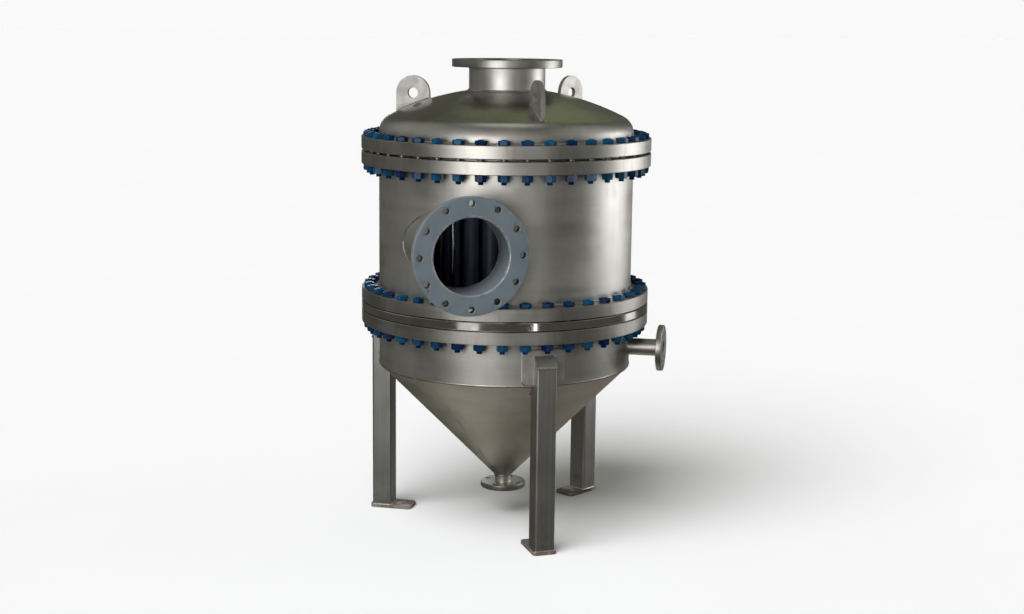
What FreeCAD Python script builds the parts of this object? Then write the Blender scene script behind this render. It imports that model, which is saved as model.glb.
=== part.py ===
"""Multi-tube cyclone separator on three legs, a parametric document in millimetres.

The origin is on the vessel's axis, level with the underside of the base plates, and +Z is up.
The inlet points along -Y, and an azimuth is measured from -Y towards +X.
"""

import FreeCAD
import Part
import math
import os

import Sketcher
from FreeCAD import Placement, Rotation, Vector

doc = FreeCAD.newDocument("cyclone_separator")
nodes = []

# ---------------------------------------------------------------- driving dimensions

DIMENSIONS = [
    # plates of the vessel
    ("shell_radius", 457),
    ("shell_wall", 8),
    ("head_wall", 8),
    ("crown_radius", 944),
    ("knuckle_radius", 69),
    ("head_straight", 12),
    # heights, from the floor up
    ("tip_level", 154),
    ("cone_height", 433),
    ("hopper_height", 155),
    ("body_height", 445),
    # the four body flanges, all alike, and what lies between them
    ("flange_width", 63),
    ("flange_thick", 45),
    ("bolt_inset", 36),
    ("bolt_hole", 11),
    ("bolt_count", 40),
    ("face_width", 15),
    ("face_height", 2.5),
    ("gasket_thick", 3),
    ("plate_thick", 29),
    # gas nozzles, on 273 mm pipe: the tangential inlet and the outlet on top
    ("gas_neck_radius", 136.5),
    ("gas_neck_wall", 4),
    ("gas_flange_width", 61),
    ("gas_flange_thick", 28),
    ("gas_bolt_inset", 38.5),
    ("gas_bolt_hole", 11),
    ("gas_bolt_count", 12),
    ("gas_lip", 12),
    ("inlet_offset", 287),
    ("inlet_rise", 189),
    ("inlet_projection", 103),
    ("outlet_rise", 272),
    ("outlet_stub", 10),
    # small nozzles, on 60.3 mm pipe: the drain and the side nozzle
    ("small_neck_radius", 30.15),
    ("small_neck_wall", 4),
    ("small_flange_width", 52.35),
    ("small_flange_thick", 20),
    ("small_bolt_inset", 32.35),
    ("small_bolt_hole", 9),
    ("small_bolt_count", 4),
    ("small_lip", 6),
    ("drain_drop", 44),
    ("side_azimuth", 60),
    ("side_rise", 77),
    ("side_projection", 130),
    # lifting lugs
    ("lug_width", 125),
    ("lug_thick", 15),
    ("lug_centre", 348),
    ("lug_rise", 197),
    ("lug_eye", 19),
    # legs, with their caps, pads and base plates
    ("support_count", 3),
    ("leg_width", 73),
    ("leg_wall", 4),
    ("leg_corner", 8),
    ("leg_offset", 3.5),
    ("leg_rise", 76),
    ("cap_thick", 6),
    ("pad_width", 152),
    ("pad_height", 120),
    ("pad_thick", 8),
    ("pad_rise", 7),
    ("pad_corner", 16),
    ("foot_thick", 12),
    ("foot_margin", 6),
    ("foot_overhang", 7),
    ("foot_reach", 77),
    ("foot_corner", 14),
    ("anchor_hole", 9),
    # tube bundle inside the body
    ("tube_radius", 28),
    ("tube_wall", 3),
    ("tube_pitch", 76),
    ("tube_rings", 3),
    ("tube_length", 481),
    ("bundle_turn", 17),
    ("support_thick", 12),
    ("support_margin", 22),
    ("rod_length", 451),
    ("rod_radius", 8),
    ("rod_inset", 44),
    ("rod_count", 4),
    ("rod_azimuth", -55),
    # chamfer on the outer corners of the turned rings and of the tube plate
    ("edge_break", 2),
    # how far a nozzle flange's mouth is bored under its pipe's bore
    ("mouth_step", 1),
    # gap left where a curved face meets another piece
    ("fit_gap", 0.3),
]

# Levels and radii that follow from the driving dimensions, as spreadsheet formulas.
DERIVED = [
    ("shell_bore", "=shell_radius - shell_wall"),
    ("flange_radius", "=shell_radius + flange_width"),
    ("bolt_circle", "=shell_radius + bolt_inset"),
    ("gasket_radius", "=shell_radius + face_width"),
    ("gas_neck_bore", "=gas_neck_radius - gas_neck_wall"),
    ("gas_flange_radius", "=gas_neck_radius + gas_flange_width"),
    ("gas_bolt_circle", "=gas_neck_radius + gas_bolt_inset"),
    ("small_neck_bore", "=small_neck_radius - small_neck_wall"),
    ("small_flange_radius", "=small_neck_radius + small_flange_width"),
    ("small_bolt_circle", "=small_neck_radius + small_bolt_inset"),
    ("cone_slope", "=(shell_radius - small_neck_radius) / cone_height"),
    ("slant_wall", "=shell_wall * sqrt(1 + cone_slope ^ 2)"),
    ("drain_level", "=tip_level - drain_drop"),
    ("cone_top", "=tip_level + cone_height"),
    ("hopper_top", "=cone_top + hopper_height"),
    ("plate_bottom", "=hopper_top + flange_thick + gasket_thick"),
    ("plate_top", "=plate_bottom + plate_thick"),
    ("body_flange", "=plate_top + gasket_thick"),
    ("body_bottom", "=body_flange + flange_thick"),
    ("body_top", "=body_bottom + body_height"),
    ("joint_level", "=body_top + flange_thick"),
    ("head_flange_level", "=joint_level + gasket_thick + 2 * face_height"),
    ("head_bottom", "=head_flange_level + flange_thick"),
    ("crown_level", "=head_bottom + head_straight"),
    ("crown_sine", "=(shell_radius - knuckle_radius) / (crown_radius - knuckle_radius)"),
    ("crown_centre", "=crown_level - (crown_radius - knuckle_radius) * sqrt(1 - crown_sine ^ 2)"),
    ("head_bore", "=gas_neck_radius + fit_gap"),
    ("bore_outside", "=crown_centre + sqrt(crown_radius ^ 2 - head_bore ^ 2)"),
    ("bore_inside", "=crown_centre + sqrt((crown_radius - head_wall) ^ 2 - head_bore ^ 2)"),
    ("outlet_top", "=head_bottom + outlet_rise"),
    ("inlet_level", "=body_bottom + inlet_rise"),
    ("inlet_reach", "=shell_radius + inlet_projection"),
    ("side_level", "=cone_top + side_rise"),
    ("side_reach", "=shell_radius + side_projection"),
    ("side_across", "=side_reach * sin(side_azimuth)"),
    ("side_depth", "=side_reach * cos(side_azimuth)"),
    ("lug_eye_level", "=crown_level + lug_rise - lug_width / 2"),
    ("leg_outer", "=shell_radius + leg_offset + leg_width / 2"),
    ("leg_inner", "=leg_outer - leg_width"),
    ("leg_top", "=cone_top + leg_rise"),
    ("cap_seat", "=leg_top - cap_thick * sqrt(2)"),
    ("pad_radius", "=shell_radius + pad_thick"),
    ("pad_level", "=cone_top + pad_rise"),
    ("foot_width", "=leg_width + 2 * foot_margin"),
    ("anchor_circle", "=leg_inner - foot_reach / 2"),
    ("support_level", "=plate_top + rod_length"),
    ("rod_circle", "=tube_rings * tube_pitch + tube_radius + rod_inset"),
    ("support_radius", "=rod_circle + rod_radius + support_margin"),
]


def fill_sheet():
    """Driving dimensions as plain numbers, then the formulas that use them."""
    sheet = doc.addObject("Spreadsheet::Sheet", "Dimensions")
    for line, (alias, content) in enumerate(DIMENSIONS + DERIVED, start=1):
        sheet.set(f"A{line}", alias)
        sheet.set(f"B{line}", str(content))
        sheet.setAlias(f"B{line}", alias)
    doc.recompute()
    return sheet


sheet = fill_sheet()
NAMES = {alias for alias, content in DIMENSIONS + DERIVED}


def size(alias):
    """A dimension's present value."""
    return float(sheet.get(alias))


def rewrite(formula, word_for):
    """The formula with each alias in it put through word_for."""
    words = []
    word = ""
    for letter in formula + " ":
        if letter.isalnum() or letter == "_":
            word += letter
            continue
        words.append(word_for(word) if word in NAMES else word)
        words.append(letter)
        word = ""
    return "".join(words).strip()


def bound(formula):
    """A formula on aliases, as an expression that any object can hold."""
    return rewrite(formula, lambda alias: f"Dimensions.{alias}")


def value(formula):
    """The present value of a formula on aliases."""
    numbers = rewrite(formula, lambda alias: f"({size(alias)!r})")
    return float(FreeCAD.Units.Quantity(numbers).Value)


# ---------------------------------------------------------------- sketches and bodies


def origin_feature(body, role):
    """One of the body's own origin planes or axes."""
    return next(item for item in body.Origin.OriginFeatures if item.Role == role)


def new_body(label, azimuth=0.0):
    """An empty body, turned about the vessel's axis."""
    body = doc.addObject("PartDesign::Body", label)
    body.Label = label
    body.Placement = Placement(Vector(0, 0, 0), Rotation(Vector(0, 0, 1), azimuth))
    nodes.append(body)
    return body


def new_sketch(body, role, turn=0.0, lift=None):
    """A sketch on one of the body's own origin planes, turned in that plane or lifted off it."""
    sketch = body.newObject("Sketcher::SketchObject", f"{body.Label}_sketch")
    sketch.AttachmentSupport = (origin_feature(body, role), "")
    sketch.MapMode = "FlatFace"
    sketch.AttachmentOffset = Placement(Vector(0, 0, 0), Rotation(Vector(0, 0, 1), turn))
    if lift is not None:
        sketch.setExpression("AttachmentOffset.Base.z", bound(lift))
    return sketch


def bind(item, prop, formula):
    """Set a property to a formula's value and keep it bound to the sheet."""
    setattr(item, prop, value(formula))
    item.setExpression(prop, bound(formula))


def constrain(sketch, formula, *constraint):
    """Add a constraint whose datum is a formula."""
    index = sketch.addConstraint(Sketcher.Constraint(*constraint, value(formula)))
    sketch.setExpression(f"Constraints[{index}]", bound(formula))


def pin_across(sketch, geometry, point, formula):
    if formula == "0":
        sketch.addConstraint(Sketcher.Constraint("PointOnObject", geometry, point, -2))
    else:
        constrain(sketch, formula, "DistanceX", -1, 1, geometry, point)


def pin_up(sketch, geometry, point, formula):
    if formula == "0":
        sketch.addConstraint(Sketcher.Constraint("PointOnObject", geometry, point, -1))
    else:
        constrain(sketch, formula, "DistanceY", -1, 1, geometry, point)


def at(across, up):
    return Vector(value(across), value(up), 0)


def draw_line(sketch, start, end):
    """A line whose two ends are pinned by formulas."""
    index = sketch.addGeometry(Part.LineSegment(at(*start), at(*end)), False)
    for point, (across, up) in ((1, start), (2, end)):
        pin_across(sketch, index, point, across)
        pin_up(sketch, index, point, up)


def draw_outline(sketch, corners):
    """A closed outline of straight lines."""
    for start, end in zip(corners, corners[1:] + corners[:1]):
        draw_line(sketch, start, end)


def draw_circle(sketch, across, up, radius):
    """A circle with its centre and radius given by formulas."""
    circle = Part.Circle(at(across, up), Vector(0, 0, 1), value(radius))
    index = sketch.addGeometry(circle, False)
    pin_across(sketch, index, 3, across)
    pin_up(sketch, index, 3, up)
    constrain(sketch, radius, "Radius", index)


def draw_arc(sketch, centre, radius, first, last):
    """An arc drawn anticlockwise, each end pinned by one formula: ("across" or "up", formula, angle)."""
    middle = Part.Circle(at(*centre), Vector(0, 0, 1), value(radius))
    arc = Part.ArcOfCircle(middle, math.radians(first[2]), math.radians(last[2]))
    index = sketch.addGeometry(arc, False)
    pin_across(sketch, index, 3, centre[0])
    pin_up(sketch, index, 3, centre[1])
    constrain(sketch, radius, "Radius", index)
    for point, (side, formula, angle) in ((1, first), (2, last)):
        (pin_across if side == "across" else pin_up)(sketch, index, point, formula)


def feature(body, kind, sketch, **settings):
    """A sketch-based feature that becomes the body's tip."""
    item = body.newObject(f"PartDesign::{kind}", f"{body.Label}_{kind.lower()}")
    item.Profile = sketch
    for prop, setting in settings.items():
        setattr(item, prop, setting)
    body.Tip = item
    return item


def turn_solid(body, sketch, kind="Revolution"):
    """Revolve a sketch on the XZ or YZ plane about the vessel's axis."""
    return feature(body, kind, sketch, ReferenceAxis=(sketch, ["V_Axis"]), Angle=360.0)


def pad(body, sketch, length, side="One side"):
    item = feature(body, "Pad", sketch, SideType=side)
    bind(item, "Length", length)
    return item


def cut_through(body, sketch, side="Symmetric", backwards=False):
    """Cut a sketch right through a body, and make sure that it did."""
    doc.recompute()
    before = body.Shape.Volume
    item = feature(body, "Pocket", sketch, Type="ThroughAll", SideType=side, Reversed=backwards)
    doc.recompute()
    if not body.Shape.Volume < before - 1:
        raise RuntimeError(f"{body.Label}: a pocket cut nothing")
    return item


def hole_circle(body, circle, hole, count, turn=0.0):
    """A ring of equal holes through a body, parallel to its Z axis."""
    sketch = new_sketch(body, "XY_Plane", turn)
    draw_circle(sketch, "0", f"-{circle}", hole)
    pocket = cut_through(body, sketch)
    pattern = body.newObject("PartDesign::PolarPattern", f"{body.Label}_pattern")
    pattern.Originals = [pocket]
    pattern.Axis = (origin_feature(body, "Z_Axis"), [""])
    pattern.Angle = 360.0
    pattern.Occurrences = int(size(count))
    pattern.setExpression("Occurrences", bound(count))
    body.Tip = pattern


def ring(label, inner, outer, low, high):
    """A plain ring about the vessel's axis."""
    body = new_body(label)
    sketch = new_sketch(body, "XZ_Plane")
    draw_outline(sketch, [(inner, low), (outer, low), (outer, high), (inner, high)])
    turn_solid(body, sketch)
    return body


# ---------------------------------------------------------------- body flanges and what they clamp


def turned_rim(radius, low, high):
    """The outer corners of a turned ring's section from low to high, with their edges broken."""
    neck = f"{radius} - edge_break"
    return [(neck, low), (radius, f"{low} + edge_break"), (radius, f"{high} - edge_break"), (neck, high)]


def body_flange(label, low, face=None):
    """One of the four large bolted rings; face is "up" or "down" where it has a raised face."""
    body = new_body(label)
    sketch = new_sketch(body, "XZ_Plane")
    high = f"{low} + flange_thick"
    under = [("shell_bore", low)]
    over = [("shell_bore", high)]
    if face == "up":
        lip = f"{high} + face_height"
        over = [("gasket_radius", high), ("gasket_radius", lip), ("shell_bore", lip)]
    if face == "down":
        lip = f"{low} - face_height"
        under = [("shell_bore", lip), ("gasket_radius", lip), ("gasket_radius", low)]
    draw_outline(sketch, under + turned_rim("flange_radius", low, high) + over)
    turn_solid(body, sketch)
    hole_circle(body, "bolt_circle", "bolt_hole", "bolt_count")
    return body


def gasket(label, low):
    return ring(label, "shell_bore", "gasket_radius", low, f"{low} + gasket_thick")


def lattice():
    """Centres of the tube bundle, as formulas: a triangular lattice of whole rings about the middle."""
    rings = int(size("tube_rings"))
    for column in range(-rings, rings + 1):
        for row in range(-rings, rings + 1):
            if abs(column + row) <= rings:
                across = column + row / 2
                up = row * math.sqrt(3) / 2
                yield tuple(f"{step:.6f} * tube_pitch" if step else "0" for step in (across, up))


def tube_plate():
    """The polished disc between the lower flanges, bored under each tube."""
    body = new_body("tube_plate")
    sketch = new_sketch(body, "XZ_Plane")
    rim = turned_rim("flange_radius", "plate_bottom", "plate_top")
    draw_outline(sketch, [("0", "plate_bottom")] + rim + [("0", "plate_top")])
    turn_solid(body, sketch)
    hole_circle(body, "bolt_circle", "bolt_hole", "bolt_count")
    bores = new_sketch(body, "XY_Plane", size("bundle_turn"))
    for across, up in lattice():
        draw_circle(bores, across, up, "tube_radius - tube_wall")
    cut_through(body, bores)


# ---------------------------------------------------------------- shells and head


def shell(label, low, high, azimuth, offset, level, bore):
    """A cylindrical shell with one opening for a nozzle, towards the given azimuth."""
    body = new_body(label, azimuth)
    sketch = new_sketch(body, "XZ_Plane")
    corners = [("shell_bore", low), ("shell_radius", low), ("shell_radius", high), ("shell_bore", high)]
    draw_outline(sketch, corners)
    turn_solid(body, sketch)
    opening = new_sketch(body, "XZ_Plane")
    draw_circle(opening, offset, level, bore)
    cut_through(body, opening, "One side", backwards=True)


def dished_curve(sketch, grow, start):
    """The head's section from radius start out to its straight flange, moved outwards by grow.

    Returns the lower end of the curve."""
    crown = f"(crown_radius + {grow})"
    knuckle = f"(knuckle_radius + {grow})"
    slope = math.degrees(math.asin(size("crown_sine")))
    lean = math.degrees(math.acos(value(start) / value(crown)))
    joint = f"{crown} * crown_sine"
    side = f"shell_radius + {grow}"
    draw_arc(
        sketch, ("0", "crown_centre"), crown, ("across", joint, 90 - slope), ("across", start, lean)
    )
    draw_arc(
        sketch, ("shell_radius - knuckle_radius", "crown_level"), knuckle,
        ("up", "crown_level", 0.0), ("across", joint, 90 - slope),
    )
    draw_line(sketch, (side, "head_bottom"), (side, "crown_level"))
    return side, "head_bottom"


def head():
    """Torispherical head with a hole for the outlet neck."""
    body = new_body("head")
    sketch = new_sketch(body, "XZ_Plane")
    outside = dished_curve(sketch, "0", "head_bore")
    inside = dished_curve(sketch, "(0 - head_wall)", "head_bore")
    draw_line(sketch, inside, outside)
    draw_line(sketch, ("head_bore", "bore_inside"), ("head_bore", "bore_outside"))
    turn_solid(body, sketch)


def cone():
    """Discharge cone, bored out at its tip to the drain neck's bore."""
    body = new_body("cone")
    sketch = new_sketch(body, "XZ_Plane")
    draw_outline(
        sketch,
        [
            ("small_neck_bore", "tip_level"),
            ("small_neck_radius", "tip_level"),
            ("shell_radius", "cone_top"),
            ("shell_radius - slant_wall", "cone_top"),
            ("small_neck_bore", "tip_level + (slant_wall - small_neck_wall) / cone_slope"),
        ],
    )
    turn_solid(body, sketch)


# ---------------------------------------------------------------- nozzles


def coped_neck(label, family, azimuth, offset, level, reach):
    """A neck that starts on a shell's outside and ends in its flange, behind the lip."""
    body = new_body(label, azimuth)
    sketch = new_sketch(body, "XZ_Plane")
    draw_circle(sketch, offset, level, f"{family}_neck_radius")
    draw_circle(sketch, offset, level, f"{family}_neck_bore")
    pad(body, sketch, f"{reach} - {family}_lip")
    cope = new_sketch(body, "XZ_Plane")
    low = f"{level} - 2 * {family}_neck_radius"
    high = f"{level} + 2 * {family}_neck_radius"
    side = "shell_radius + fit_gap"
    draw_outline(cope, [("0", low), (side, low), (side, high), ("0", high)])
    turn_solid(body, cope, "Groove")


def nozzle_flange(label, family, place, rotation, turn=0.0):
    """A socket flange whose face is at the place given by three formulas; its lip covers the neck's end."""
    body = new_body(label)
    sketch = new_sketch(body, "XZ_Plane")
    socket = f"{family}_neck_radius + fit_gap"
    mouth = f"{family}_neck_bore - mouth_step"
    back = f"-{family}_flange_thick"
    seat = f"-{family}_lip"
    rim = turned_rim(f"{family}_flange_radius", back, "0")
    draw_outline(sketch, [(socket, back)] + rim + [(mouth, "0"), (mouth, seat), (socket, seat)])
    turn_solid(body, sketch)
    hole_circle(body, f"{family}_bolt_circle", f"{family}_bolt_hole", f"{family}_bolt_count", turn)
    body.Placement = Placement(Vector(*(value(formula) for formula in place)), rotation)
    for axis, formula in zip("xyz", place):
        body.setExpression(f"Placement.Base.{axis}", bound(formula))


def nozzles():
    upright = Rotation()
    downward = Rotation(Vector(1, 0, 0), 180)
    forward = Rotation(Vector(1, 0, 0), 90)
    sideways = Rotation(Vector(0, 0, 1), size("side_azimuth")) * forward
    straddled = 180 / size("small_bolt_count")
    coped_neck("inlet_neck", "gas", 0.0, "-inlet_offset", "inlet_level", "inlet_reach")
    nozzle_flange("inlet_flange", "gas", ("-inlet_offset", "-inlet_reach", "inlet_level"), forward)
    outlet_foot = "bore_inside - outlet_stub"
    ring("outlet_neck", "gas_neck_bore", "gas_neck_radius", outlet_foot, "outlet_top - gas_lip")
    nozzle_flange("outlet_flange", "gas", ("0", "0", "outlet_top"), upright)
    ring("drain_neck", "small_neck_bore", "small_neck_radius", "drain_level + small_lip", "tip_level")
    nozzle_flange("drain_flange", "small", ("0", "0", "drain_level"), downward, straddled)
    coped_neck("side_neck", "small", size("side_azimuth"), "0", "side_level", "side_reach")
    nozzle_flange("side_flange", "small", ("side_across", "-side_depth", "side_level"), sideways, straddled)


# ---------------------------------------------------------------- lifting lugs


def lifting_lug(label, azimuth):
    """A radial plate on the head, round at the top about its eye."""
    body = new_body(label, azimuth)
    sketch = new_sketch(body, "YZ_Plane")
    inner = "lug_width / 2 - lug_centre"
    outer = "-lug_width / 2 - lug_centre"
    draw_line(sketch, (outer, "crown_level"), (inner, "crown_level"))
    draw_line(sketch, (inner, "crown_level"), (inner, "lug_eye_level"))
    draw_line(sketch, (outer, "crown_level"), (outer, "lug_eye_level"))
    draw_arc(
        sketch, ("-lug_centre", "lug_eye_level"), "lug_width / 2",
        ("up", "lug_eye_level", 0.0), ("up", "lug_eye_level", 180.0),
    )
    draw_circle(sketch, "-lug_centre", "lug_eye_level", "lug_eye")
    pad(body, sketch, "lug_thick", "Symmetric")
    seat = new_sketch(body, "XZ_Plane")
    foot = dished_curve(seat, "fit_gap", "0")
    draw_line(seat, ("0", "head_bottom"), foot)
    draw_line(seat, ("0", "head_bottom"), ("0", "crown_centre + crown_radius + fit_gap"))
    turn_solid(body, seat, "Groove")


# ---------------------------------------------------------------- legs


def round_corners(body, along, radius):
    """Fillet the edges of the body's tip that run along one of its axes."""
    doc.recompute()
    solid = body.Tip
    names = [
        f"Edge{number}"
        for number, edge in enumerate(solid.Shape.Edges, start=1)
        if abs(edge.tangentAt(edge.FirstParameter).dot(along)) > 0.999
    ]
    fillet = body.newObject("PartDesign::Fillet", f"{body.Label}_corners")
    fillet.Base = (solid, names)
    bind(fillet, "Radius", radius)
    body.Tip = fillet


def cut_round(body, inner, outer, low, high):
    """Cut away a ring about the vessel's axis."""
    sketch = new_sketch(body, "XZ_Plane")
    draw_outline(sketch, [(inner, low), (outer, low), (outer, high), (inner, high)])
    turn_solid(body, sketch, "Groove")


def box_outline(sketch, half, near, far):
    """A rectangle that is centred across and runs outwards from near to far."""
    left, outside, inside = f"-{half}", f"-{far}", f"-{near}"
    draw_outline(sketch, [(left, outside), (half, outside), (half, inside), (left, inside)])


def leg(label, azimuth):
    """A square tube, coped to the cone and the pad and cut off at a slope on top."""
    body = new_body(label, azimuth)
    outside = new_sketch(body, "XY_Plane", lift="foot_thick")
    box_outline(outside, "leg_width / 2", "leg_inner", "leg_outer")
    pad(body, outside, "leg_top + leg_width - foot_thick")
    round_corners(body, Vector(0, 0, 1), "leg_corner")
    hollow = new_sketch(body, "XY_Plane")
    box_outline(hollow, "(leg_width / 2 - leg_wall)", "(leg_inner + leg_wall)", "(leg_outer - leg_wall)")
    cut_through(body, hollow)
    roof = "leg_top + 2 * leg_width"
    cope = new_sketch(body, "XZ_Plane")
    draw_outline(
        cope,
        [
            ("0", "tip_level"),
            ("small_neck_radius + fit_gap", "tip_level"),
            ("shell_radius + fit_gap", "cone_top"),
            ("pad_radius + fit_gap", "cone_top"),
            ("pad_radius + fit_gap", roof),
            ("0", roof),
        ],
    )
    turn_solid(body, cope, "Groove")
    slope = new_sketch(body, "YZ_Plane")
    front = "-leg_outer - leg_wall"
    back = "leg_wall - leg_inner"
    corners = [(front, "cap_seat - leg_wall"), (back, "cap_seat + leg_width + leg_wall")]
    draw_outline(slope, corners + [(back, roof), (front, roof)])
    cut_through(body, slope)


def leg_cap(label, azimuth):
    """A plate that closes the leg's sloping top, up to the pad."""
    body = new_body(label, azimuth)
    sketch = new_sketch(body, "YZ_Plane")
    draw_outline(
        sketch,
        [
            ("-leg_outer", "cap_seat"),
            ("-leg_inner", "cap_seat + leg_width"),
            ("-leg_inner", "leg_top + leg_width"),
            ("-leg_outer", "leg_top"),
        ],
    )
    pad(body, sketch, "leg_width", "Symmetric")
    cut_round(body, "0", "pad_radius + fit_gap", "cap_seat - leg_width", "leg_top + 2 * leg_width")


def leg_pad(label, azimuth):
    """A curved plate with round corners that spreads the leg's load over the hopper shell."""
    body = new_body(label, azimuth)
    sketch = new_sketch(body, "XZ_Plane")
    half = "pad_width / 2"
    top = "pad_level + pad_height"
    draw_outline(sketch, [(f"-{half}", "pad_level"), (half, "pad_level"), (half, top), (f"-{half}", top)])
    pad(body, sketch, "pad_radius + pad_width")
    round_corners(body, Vector(0, 1, 0), "pad_corner")
    low = "pad_level - pad_thick"
    high = "pad_level + pad_height + pad_thick"
    cut_round(body, "0", "shell_radius + fit_gap", low, high)
    cut_round(body, "pad_radius", "pad_radius + 2 * pad_width", low, high)


def base_plate(label, azimuth):
    """A plate under a leg that reaches inwards to its anchor hole."""
    body = new_body(label, azimuth)
    sketch = new_sketch(body, "XY_Plane")
    box_outline(sketch, "foot_width / 2", "(leg_inner - foot_reach)", "(leg_outer + foot_overhang)")
    pad(body, sketch, "foot_thick")
    round_corners(body, Vector(0, 0, 1), "foot_corner")
    hole = new_sketch(body, "XY_Plane")
    draw_circle(hole, "0", "-anchor_circle", "anchor_hole")
    cut_through(body, hole)


# ---------------------------------------------------------------- tube bundle


def free_sketch(label, level, turn):
    """A level sketch that belongs to no body."""
    sketch = doc.addObject("Sketcher::SketchObject", f"{label}_sketch")
    sketch.Placement = Placement(Vector(0, 0, value(level)), Rotation(Vector(0, 0, 1), turn))
    sketch.setExpression("Placement.Base.z", bound(level))
    return sketch


def extrude(label, sketch, length):
    """Upright solids, one from each closed outline of the sketch."""
    solids = doc.addObject("Part::Extrusion", label)
    solids.Label = label
    solids.Base = sketch
    solids.DirMode = "Normal"
    solids.Solid = True
    solids.FaceMakerClass = "Part::FaceMakerBullseye"
    bind(solids, "LengthFwd", length)
    nodes.append(solids)


def cyclone_tubes():
    """Tubes that stand on the tube plate, each over its own bore."""
    sketch = free_sketch("cyclone_tubes", "plate_top", size("bundle_turn"))
    for across, up in lattice():
        draw_circle(sketch, across, up, "tube_radius")
        draw_circle(sketch, across, up, "tube_radius - tube_wall")
    extrude("cyclone_tubes", sketch, "tube_length")


def tie_rods():
    """Rods from the tube plate up to the support plate."""
    sketch = free_sketch("tie_rods", "plate_top", size("rod_azimuth"))
    count = int(size("rod_count"))
    for number in range(count):
        angle = 2 * math.pi * number / count
        across, up = (f"{step:.9f} * rod_circle" for step in (math.sin(angle), -math.cos(angle)))
        draw_circle(sketch, across, up, "rod_radius")
    extrude("tie_rods", sketch, "rod_length")


def support_plate():
    """A plate on the tie rods that the tubes pass through."""
    top = "support_level + support_thick"
    body = new_body("support_plate")
    sketch = new_sketch(body, "XZ_Plane")
    rim = "support_radius"
    draw_outline(sketch, [("0", "support_level"), (rim, "support_level"), (rim, top), ("0", top)])
    turn_solid(body, sketch)
    bores = new_sketch(body, "XY_Plane", size("bundle_turn"))
    for across, up in lattice():
        draw_circle(bores, across, up, "tube_radius + fit_gap")
    cut_through(body, bores)


# ---------------------------------------------------------------- assembly and files


def vessel():
    head()
    body_flange("head_flange", "head_flange_level", "down")
    gasket("top_gasket", "joint_level + face_height")
    body_flange("shell_top_flange", "body_top", "up")
    shell("shell", "body_bottom", "body_top", 0.0, "-inlet_offset", "inlet_level", "gas_neck_bore")
    body_flange("shell_bottom_flange", "body_flange")
    gasket("upper_plate_gasket", "plate_top")
    tube_plate()
    gasket("lower_plate_gasket", "plate_bottom - gasket_thick")
    body_flange("hopper_flange", "hopper_top")
    side = size("side_azimuth")
    shell("hopper_shell", "cone_top", "hopper_top", side, "0", "side_level", "small_neck_bore")
    cone()


def supports():
    count = int(size("support_count"))
    for number in range(1, count + 1):
        azimuth = 360 * (number - 1) / count
        lifting_lug(f"lifting_lug_{number}", azimuth)
        leg_pad(f"leg_pad_{number}", azimuth)
        leg_cap(f"leg_cap_{number}", azimuth)
        leg(f"leg_{number}", azimuth)
        base_plate(f"base_plate_{number}", azimuth)


def check_document():
    """Stop if any object failed or any piece's shape is empty or invalid."""
    doc.recompute()
    for item in doc.Objects:
        if "Invalid" in item.State or "Error" in item.State:
            raise RuntimeError(f"{item.Label} failed: {item.State}")
    for node in nodes:
        if node.Shape.isNull() or not node.Shape.isValid() or not node.Shape.Solids:
            raise RuntimeError(f"{node.Label} has no valid solid")


def write_parts():
    os.makedirs("parts", exist_ok=True)
    for node in nodes:
        node.Shape.exportStep(f"parts/{node.Label}.step")
        print(f"{node.Label}: {len(node.Shape.Solids)} solids, {node.Shape.Volume / 1e6:.3f} litres")


vessel()
nozzles()
cyclone_tubes()
tie_rods()
support_plate()
supports()
check_document()
write_parts()
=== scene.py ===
"""Stainless multi-tube cyclone separator: its finishes, welds and bolting, around its CAD frame.

Metres, +Z up, the vessel's axis through the origin and the inlet pointing along -Y.
"""

import math
import random

import bmesh
import bpy
from mathutils import Matrix, Vector


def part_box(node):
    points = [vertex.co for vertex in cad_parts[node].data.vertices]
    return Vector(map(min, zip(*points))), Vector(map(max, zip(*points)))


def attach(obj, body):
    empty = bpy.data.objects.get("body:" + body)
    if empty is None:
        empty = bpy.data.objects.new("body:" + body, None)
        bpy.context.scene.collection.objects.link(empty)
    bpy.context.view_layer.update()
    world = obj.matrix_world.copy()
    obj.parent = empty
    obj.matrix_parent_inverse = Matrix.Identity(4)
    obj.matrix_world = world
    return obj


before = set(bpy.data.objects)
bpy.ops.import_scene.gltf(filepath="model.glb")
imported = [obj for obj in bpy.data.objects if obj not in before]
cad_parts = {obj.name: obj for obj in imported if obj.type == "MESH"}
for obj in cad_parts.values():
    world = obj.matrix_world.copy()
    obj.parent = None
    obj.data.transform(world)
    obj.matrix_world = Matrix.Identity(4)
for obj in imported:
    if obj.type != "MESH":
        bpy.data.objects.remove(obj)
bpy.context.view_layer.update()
dice = random.Random(11)


# ---------------------------------------------------------------- shell, hopper, head and cone
# Sheet stainless steel, 8 mm thick: the shell and the hopper are rolled, the head is pressed and
# spun, and the cone is rolled in one piece. After welding they were blasted with glass beads, which
# leaves a soft satin grey, and water has run down them since.


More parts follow.
